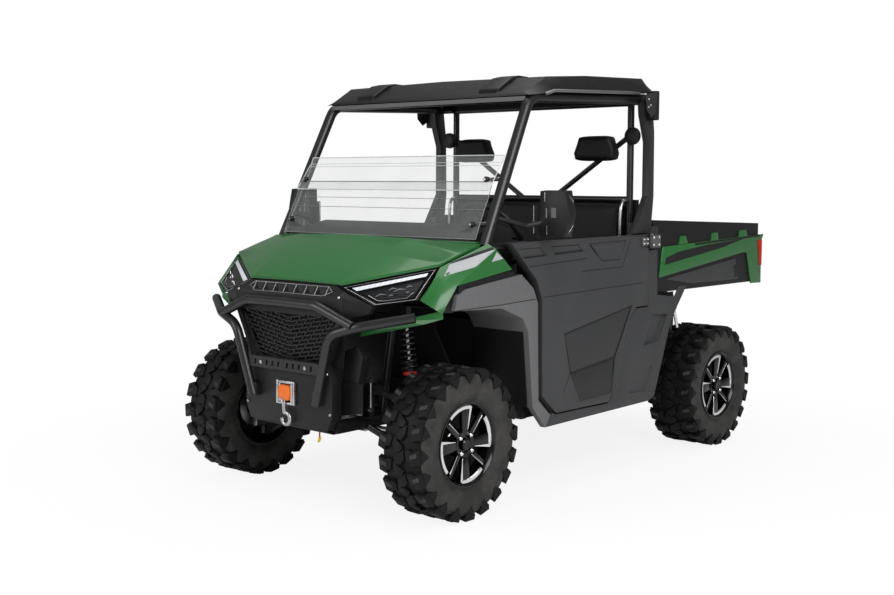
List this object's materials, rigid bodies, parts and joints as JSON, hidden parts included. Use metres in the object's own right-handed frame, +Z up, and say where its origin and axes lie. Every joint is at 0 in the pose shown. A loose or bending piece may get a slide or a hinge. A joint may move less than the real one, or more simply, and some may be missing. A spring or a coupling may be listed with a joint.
{
  "type": "side by side utility vehicle",
  "caption": "Work side by side with bench seat, two doors, roof, short windshield, bull bar, winch hook and tipping cargo bed.",
  "frame": {"origin": "on the floor, at the middle of the vehicle's bounding box", "axes": "+Z up, the front of the vehicle faces -Y, +X to the vehicle's left"},
  "size_m": [1.9, 3.21, 2.038],
  "materials": {
    "tyre": "matte",
    "wheel_metal": "satin",
    "cast_steel": "rough",
    "frame_steel": "satin",
    "arm_steel": "satin",
    "machined_metal": "satin",
    "spring_steel": "gloss",
    "black_plastic": "textured",
    "vinyl": "grained",
    "clear_sheet": "clear",
    "dark_grey_plastic": "grained",
    "grey_plastic": "grained",
    "green_plastic": "gloss",
    "lamp_lens": "clear",
    "red_lens": "gloss",
    "hook_steel": "brushed",
    "gate_plastic": "textured"
  },
  "bodies": {
    "root": {"bull_bar": "frame_steel", "cab_floor": "black_plastic", "cage": "frame_steel", "dash": "black_plastic", "driveline": "machined_metal", "engine": "machined_metal", "fascia": "black_plastic", "fenders": "green_plastic", "flares": "grey_plastic", "frame": "frame_steel", "grille": "black_plastic", "headlamps": "lamp_lens", "headrests": "vinyl", "mirrors": "black_plastic", "radiator": "machined_metal", "rear_pillars": "black_plastic", "rear_uprights": "cast_steel", "roof": "black_plastic", "seat_backs": "vinyl", "seat_base": "black_plastic", "seat_cushions": "vinyl", "shocks": "spring_steel", "side_panels": "dark_grey_plastic", "skid_plate": "black_plastic", "suspension_arms": "arm_steel", "winch": "hook_steel", "windshield": "clear_sheet"},
    "hood": {"hood": "green_plastic"},
    "door_left": {"door_left": "dark_grey_plastic"},
    "door_right": {"door_right": "dark_grey_plastic"},
    "bed": {"bed": "black_plastic", "bed_panels": "green_plastic", "tail_lamps": "red_lens"},
    "tailgate": {"tailgate": "gate_plastic"},
    "steering_wheel": {"steering_wheel": "black_plastic"},
    "tie_rods": {"tie_rods": "arm_steel"},
    "knuckle_left": {"knuckle_left": "cast_steel"},
    "knuckle_right": {"knuckle_right": "cast_steel"},
    "wheel_front_left": {"tyre_front_left": "tyre", "rim_front_left": "wheel_metal"},
    "wheel_front_right": {"tyre_front_right": "tyre", "rim_front_right": "wheel_metal"},
    "wheel_rear_left": {"tyre_rear_left": "tyre", "rim_rear_left": "wheel_metal"},
    "wheel_rear_right": {"tyre_rear_right": "tyre", "rim_rear_right": "wheel_metal"}
  },
  "joints": [
    {"name": "steering_wheel", "type": "hinge", "parent": "root", "child": "steering_wheel", "pos_m": [0.36, -0.53, 1.235], "axis": [0, 0.8192, 0.5736], "range_deg": [-270, 270]},
    {"name": "knuckle_left", "type": "hinge", "parent": "root", "child": "knuckle_left", "pos_m": [0.587, -1.19, 0.343], "axis": [0, 0, 1], "range_deg": [-30.5, 30.5]},
    {"name": "knuckle_right", "type": "hinge", "parent": "root", "child": "knuckle_right", "pos_m": [-0.587, -1.19, 0.343], "axis": [0, 0, 1], "range_deg": [-30.5, 30.5]},
    {"name": "tie_rods", "type": "slide", "parent": "root", "child": "tie_rods", "axis": [1, 0, 0], "range_m": [-0.065, 0.065]},
    {"name": "door_left", "type": "hinge", "parent": "root", "child": "door_left", "pos_m": [0.785, 0.268, 1.186], "axis": [0, 0, 1], "range_deg": [0, 70]},
    {"name": "door_right", "type": "hinge", "parent": "root", "child": "door_right", "pos_m": [-0.785, 0.268, 1.186], "axis": [0, 0, -1], "range_deg": [0, 70]},
    {"name": "hood", "type": "hinge", "parent": "root", "child": "hood", "pos_m": [0, -1.002, 1.216], "axis": [-1, 0, 0], "range_deg": [0, 50]},
    {"name": "bed", "type": "hinge", "parent": "root", "child": "bed", "pos_m": [0, 1.3, 0.88], "axis": [-1, 0, 0], "range_deg": [0, 40]},
    {"name": "tailgate", "type": "hinge", "parent": "bed", "child": "tailgate", "pos_m": [0, 1.573, 0.945], "axis": [-1, 0, 0], "range_deg": [0, 90]},
    {"name": "wheel_front_left", "type": "hinge", "parent": "knuckle_left", "child": "wheel_front_left", "pos_m": [0.677, -1.19, 0.343], "axis": [1, 0, 0], "continuous": true},
    {"name": "wheel_front_right", "type": "hinge", "parent": "knuckle_right", "child": "wheel_front_right", "pos_m": [-0.677, -1.19, 0.343], "axis": [1, 0, 0], "continuous": true},
    {"name": "wheel_rear_left", "type": "hinge", "parent": "root", "child": "wheel_rear_left", "pos_m": [0.677, 0.99, 0.343], "axis": [1, 0, 0], "continuous": true},
    {"name": "wheel_rear_right", "type": "hinge", "parent": "root", "child": "wheel_rear_right", "pos_m": [-0.677, 0.99, 0.343], "axis": [1, 0, 0], "continuous": true}
  ],
  "couplings": [
    {"joint": "knuckle_left", "follows": "steering_wheel", "ratio": 0.11111},
    {"joint": "knuckle_right", "follows": "steering_wheel", "ratio": 0.11111},
    {"joint": "tie_rods", "follows": "steering_wheel", "m_per_rad": -0.01356}
  ]
}
